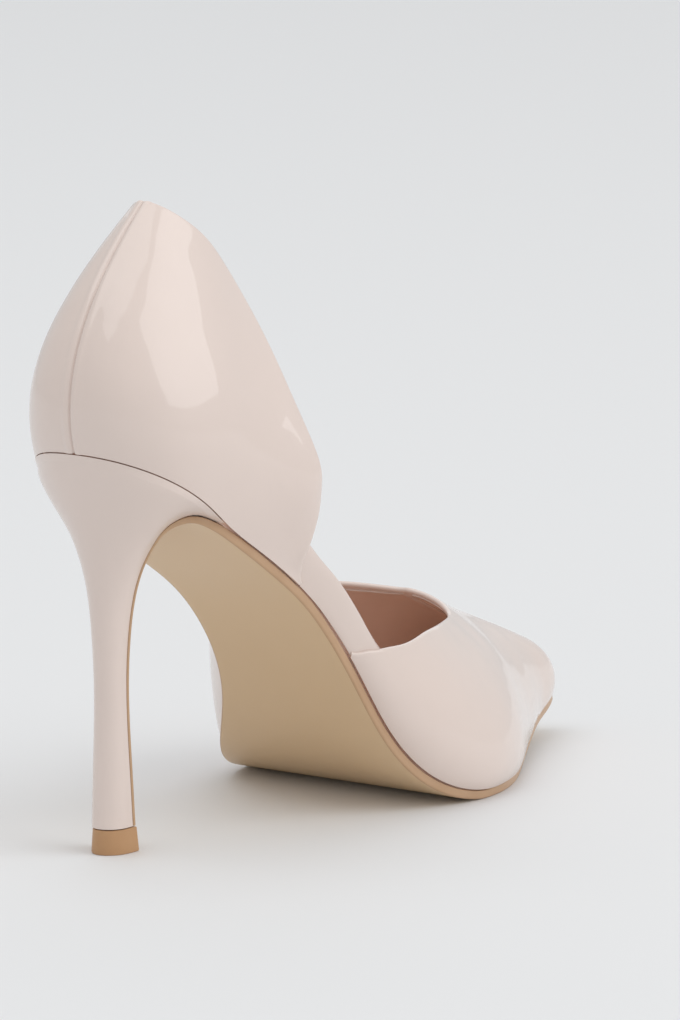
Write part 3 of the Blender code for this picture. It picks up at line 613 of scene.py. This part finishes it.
def edgeInset(amount, y):
    # x of both sides of the sole edge at y, drawn in by amount square to the outline
    fineSteps = 4001
    edge = soleEdgeAt(np.linspace(0, soleEdgeKnots[-1], fineSteps))
    sides = []
    for column, outward in ((2, 1), (3, -1)):
        plan = np.stack([edge[:, column], edge[:, 0]], 1)
        tangent = unitVectors(np.gradient(plan, axis=0))
        plan = plan - outward * amount * np.stack([tangent[:, 1], -tangent[:, 0]], 1)
        sides.append(np.interp(y, np.maximum.accumulate(plan[:, 1]), plan[:, 0]))
    return sides


def underEdge(y, depth):
    # points (y, z) at a depth under the sole edge, square to it in side view
    near = 0.2
    before, z, after = (soleEdgeAt(soleEdgeDistance(y + step))[:, 1] for step in (-near, 0, near))
    slope = (after - before) / (2 * near)
    length = np.sqrt(1 + slope**2)
    return y + depth * slope / length, z - depth / length


def heelLean(z):
    # x of the heel's middle at z, in proportion to the height
    return soleMake["lean"] * np.minimum(z / soleMake["heel"][0][1], 1)


def soleSections():
    # one row for each section, toe to tip: y and z of the underside, x lateral, x medial,
    # thickness, then y, z and half width of the heel's back there, and the number of its
    # row in the heel's table, -1 on the sole; with the normals into the leather (y, z).
    # The turn into the heel is a cubic spline through the shank's end and the heel's rows
    s = soleMake
    per = s["perRow"]
    end = soleEdge[-1, 0] - s["inset"]
    ease = np.sin(np.linspace(s["toeFirst"], 1, s["toeRows"]) * math.pi / 2)
    y = np.concatenate([end - (end - s["toeStart"]) * ease[:-1]**s["toePacking"],
                        np.linspace(s["toeStart"], s["shankEnd"], s["shankRows"])])
    pathY, pathZ = underEdge(y, s["gap"] + s["thickness"])
    lateral, medial = edgeInset(s["inset"], y)
    heel = np.array(s["heel"])
    seat = [*heel[0, 3:], -1.0]
    rest = np.tile([s["thickness"], *seat], (len(y), 1))
    fore = np.column_stack([pathY, np.maximum(pathZ, 0), lateral, medial, rest])
    turnY, turnZ, turnHalf = s["turn"]
    turnX = heelLean(turnZ)
    turning = [turnY, turnZ, turnX + turnHalf, turnX - turnHalf, s["thickness"], *seat]
    lean = heelLean(heel[:, 1])
    number = np.arange(len(heel))
    thickness = np.maximum(s["onHeel"], s["thickness"] - s["thinning"] * (number + 1))
    down = np.column_stack([heel[:, :2], lean + heel[:, 2], lean - heel[:, 2], thickness,
                            heel[:, 3:], number])
    near = np.vstack([fore[-3 * per::per], turning, down])
    knots = np.concatenate([[0], np.cumsum(np.linalg.norm(np.diff(near[:, :2], axis=0), axis=1))])
    steps = np.arange(2, len(knots) - 1 + 1e-9, 1 / per)
    at = np.interp(steps, np.arange(len(knots)), knots)
    rows = np.vstack([fore[:-per], cubicThrough(knots, near, at)])
    tangent = unitVectors(np.gradient(rows[:, :2], axis=0))
    tangent[-1] = 0, -1
    return rows, np.stack([tangent[:, 1], -tangent[:, 0]], 1)


def makeOutsole():
    # sections along the shoe: a flat underside, quarter rounds at its two edges, upright
    # sides and a flat top with small corners
    s = soleMake
    rows, normal = soleSections()
    radius, small = s["cornerRadius"], s["topCorner"]
    corner = np.linspace(0, math.pi / 2, s["cornerPoints"])
    half = (rows[:, 2] - rows[:, 3])[:, None] / 2
    middle = (rows[:, 2] + rows[:, 3])[:, None] / 2
    thickness = rows[:, 4, None]
    bottomX = np.linspace(-1, 1, s["flatPoints"])[None] * (half - radius)
    sideX = half - radius + radius * np.sin(corner)[None]
    sideRise = radius * (1 - np.cos(corner))[None] + 0 * half
    topX = np.linspace(1, -1, s["cornerPoints"])[None] * (half - small)
    x = np.concatenate([bottomX, sideX[:, 1:], half, topX,
                        -half, -sideX[:, :0:-1], bottomX[:, :1]], axis=1)
    rise = np.concatenate([0 * bottomX, sideRise[:, 1:], thickness - small, thickness + 0 * topX,
                           thickness - small, sideRise[:, :0:-1], 0 * bottomX[:, :1]], axis=1)
    points = np.stack([middle + x, rows[:, 0, None] + normal[:, 0, None] * rise,
                       rows[:, 1, None] + normal[:, 1, None] * rise], -1)[::-1]
    under, edge = points[:, :s["flatPoints"]], points[:, s["flatPoints"] - 1:]
    grids = [(under, 0), (edge, 1)]
    piece = addPiece("outsole_leather", grids, (soleLeather, soleEdgeStain), smoothAngle=40)
    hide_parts("outsole")
    return rows, normal


sockMake = {
    "thickness": 1.8, "below": 0.35,    # above the sole edge's line, and under it
    "inset": 1.4, "ends": 1.0,          # short of the edge at the sides, and more at the ends
    "crown": 0.35, "crownHalf": 12.0,   # how far its sides fall, less where it is narrower
    "round": 0.7,
    "sections": 150, "firstAngle": 0.06, "acrossPoints": 25, "roundPoints": 6,
}


def makeSock():
    # sections from heel to toe, closer at both ends: a top that falls from the middle with
    # the square of the way out, quarter rounds, upright sides and a flat underside
    s = sockMake
    first = soleEdge[0, 0] + s["inset"] + s["ends"] / 2
    last = soleEdge[-1, 0] - s["inset"] - s["ends"]
    angle = np.linspace(s["firstAngle"], math.pi - s["firstAngle"], s["sections"])
    y = first + (last - first) * (1 - np.cos(angle)) / 2
    lateral, medial = edgeInset(s["inset"], y)
    half, middle = (lateral - medial)[:, None] / 2, (lateral + medial)[:, None] / 2
    a = np.linspace(0, math.pi / 2, s["roundPoints"])[None]
    across = np.linspace(-1, 1, s["acrossPoints"])[None]
    fall = np.minimum(1, half / s["crownHalf"])
    topX = across * (half - s["round"])
    low = -s["below"] + 0 * half
    topRise = s["thickness"] - s["crown"] * across**2 * fall
    sideX = half - s["round"] + s["round"] * np.sin(a)
    sideRise = (s["thickness"] - s["crown"] * fall) - s["round"] * (1 - np.cos(a))
    x = np.concatenate([topX, sideX[:, 1:], half, -half, -sideX[:, :0:-1], topX[:, :1]], axis=1)
    rise = np.concatenate([topRise, sideRise[:, 1:], low,
                           low, sideRise[:, :0:-1], topRise[:, :1]], axis=1)
    lowY, lowZ = underEdge(y, 0.0)
    highY, highZ = underEdge(y, -1.0)
    points = np.stack([middle + x, lowY[:, None] + (highY - lowY)[:, None] * rise,
                       lowZ[:, None] + (highZ - lowZ)[:, None] * rise], -1)
    piece = addPiece("sock_lining", [(points, 0)], (lining,), smoothAngle=45)
    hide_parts("insole")


def evenSteps(path, count):
    # count points on a line of points, at equal steps along it
    length = np.concatenate([[0], np.cumsum(np.linalg.norm(np.diff(path, axis=0), axis=1))])
    at = np.linspace(0, length[-1], count)
    return np.stack([np.interp(at, length, path[:, k]) for k in range(path.shape[1])], 1)


def halfOutline(front, halfFront, back, halfWidest, count):
    # half a heel section: a short parabola from the front corner to the widest place, then
    # a quarter ellipse to the middle of the back, at equal steps along the path
    shoulder, foreSteps, backSteps = 0.35, 20, 90
    fore = np.linspace(0, shoulder, foreSteps)
    angle = np.linspace(0, math.pi / 2, backSteps)
    half = np.concatenate([halfWidest - (halfWidest - halfFront) * ((shoulder - fore) / shoulder)**2,
                           halfWidest * np.cos(angle)])
    depth = np.concatenate([fore, shoulder + (1 - shoulder) * np.sin(angle)])[:, None]
    front, back = np.array(front), np.array(back)
    return evenSteps(np.column_stack([half, front + (back - front) * depth]), count)


def makeHeel(rows, normal):
    # rings from the tip to the seat, each from the outsole's section round the back, and a
    # last one along the sole edge; the front corners of the rings are joined across
    s = soleMake
    seatSteps, onHeel = 300, -0.01
    rings = []
    for row, n in zip(rows, normal):
        if row[8] < onHeel:
            continue
        front = row[:2] + n * (row[4] + s["gap"])
        half = halfOutline(front, (row[2] - row[3]) / 2, row[5:7], row[7], s["heelPoints"])
        x = heelLean(half[:, 2])
        lateral = np.column_stack([x + half[:, 0], half[:, 1:]])
        medial = np.column_stack([x - half[:, 0], half[:, 1:]])
        rings.insert(0, np.concatenate([lateral, medial[-2::-1]]))
    edge = soleEdgeAt(np.linspace(soleEdgeDistance(s["seatFront"]), 0, seatSteps))
    y, z = underEdge(edge[:, 0], s["gap"])
    lateral, medial = (evenSteps(np.column_stack([edge[:, k], y, z]), s["heelPoints"]) for k in (2, 3))
    rings.append(np.concatenate([lateral, medial[-2::-1]]))
    points = np.array(rings)
    points = np.concatenate([points, points[:, :1]], axis=1)
    piece = addPiece("heel_cover", [(points, 0)], (patent,), smoothAngle=40)
    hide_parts("heel")


tipMake = {
    # sections of the tip: z, front y, half width there, back y, half width at the middle
    "sections": (
        (6.2, 4.35, 4.35, -4.75, 4.45), (6.05, 4.5, 4.5, -4.9, 4.6), (3.2, 4.7, 4.7, -5.05, 4.8),
        (0.5, 4.9, 4.9, -5.2, 5.0), (0.12, 4.82, 4.82, -5.12, 4.92), (0.0, 4.6, 4.6, -4.9, 4.7)),
    "points": 36,           # in half a ring
}


def makeTip():
    # rings from the floor up, each two mirrored halves of a heel section
    rings = []
    for z, front, halfFront, back, halfWidest in tipMake["sections"][::-1]:
        half = halfOutline((front, z), halfFront, (back, z), halfWidest, tipMake["points"])
        rings.append(np.concatenate([half, (half * np.array([-1, 1, 1]))[-2::-1]]))
    points = np.array(rings)
    points = np.concatenate([points, points[:, :1]], axis=1)
    piece = addPiece("top_lift", [(points, 0)], (tipRubber,), smoothAngle=35)
    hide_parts("heel_tip")


soleRows, soleNormal = makeOutsole()
makeSock()
makeHeel(soleRows, soleNormal)
makeTip()
print("sole and heel made")

# Studio

studio = {
    "cameraAt": (1.15072, -1.42394, 0.391), "aimAt": (0.004, 0.088, 0.074), "lens": 268.0,
    "sensorWidth": 36.0, "clip": (0.05, 60.0),
    "floorColour": (0.80, 0.805, 0.81), "floorRoughness": 0.75, "floorHalf": 14.0,
    "worldColour": (0.93, 0.94, 0.95), "worldStrength": 0.64,
    # name, place, aimed at, width, height, watts; the studio is in metres
    "lights": (
        ("keySoftbox", (3.0, 1.0, 2.4), (0, 0.06, 0.06), 3.6, 3.6, 54.0),
        ("backSoftbox", (-1.8, 2.6, 1.8), (0, 0.08, 0.06), 3.4, 2.4, 9.0),
        ("topSoftbox", (-0.4, -0.5, 2.8), (0, 0.08, 0.0), 2.6, 2.6, 21.0)),
}


def lookAt(item, target):
    # turns a camera or a lamp so that its -Z points at the target and its Y up
    item.rotation_euler = (Vector(target) - item.location).to_track_quat("-Z", "Y").to_euler()


def makeStudio():
    # camera, paper floor, softboxes and an even light all round
    s = studio
    scene = bpy.context.scene
    camera = bpy.data.objects.new("camera", bpy.data.cameras.new("camera"))
    camera.location = s["cameraAt"]
    camera.data.sensor_fit, camera.data.sensor_width = "AUTO", s["sensorWidth"]
    camera.data.lens = s["lens"]
    camera.data.clip_start, camera.data.clip_end = s["clip"]
    lookAt(camera, s["aimAt"])
    scene.collection.objects.link(camera)
    scene.camera = camera
    mesh = bpy.data.meshes.new("studio_floor")
    half = s["floorHalf"]
    corners = [(-half, -half, 0), (half, -half, 0), (half, half, 0), (-half, half, 0)]
    mesh.from_pydata(corners, [], [(0, 1, 2, 3)])
    floor = bpy.data.objects.new("studio_floor", mesh)
    scene.collection.objects.link(floor)
    paper = bpy.data.materials.new("studio_paper")
    paper.use_nodes = True
    shader = paper.node_tree.nodes["Principled BSDF"]
    shader.inputs["Base Color"].default_value = (*s["floorColour"], 1)
    shader.inputs["Roughness"].default_value = s["floorRoughness"]
    mesh.materials.append(paper)
    for name, place, target, width, height, watts in s["lights"]:
        light = bpy.data.lights.new(name, "AREA")
        light.shape, light.size, light.size_y, light.energy = "RECTANGLE", width, height, watts
        lamp = bpy.data.objects.new(name, light)
        lamp.location = place
        scene.collection.objects.link(lamp)
        lookAt(lamp, target)
    world = bpy.data.worlds.new("studio_light")
    world.use_nodes = True
    background = world.node_tree.nodes["Background"]
    background.inputs["Color"].default_value = (*s["worldColour"], 1)
    background.inputs["Strength"].default_value = s["worldStrength"]
    scene.world = world
    scene.view_settings.view_transform = "Standard"


makeStudio()
print("studio made")
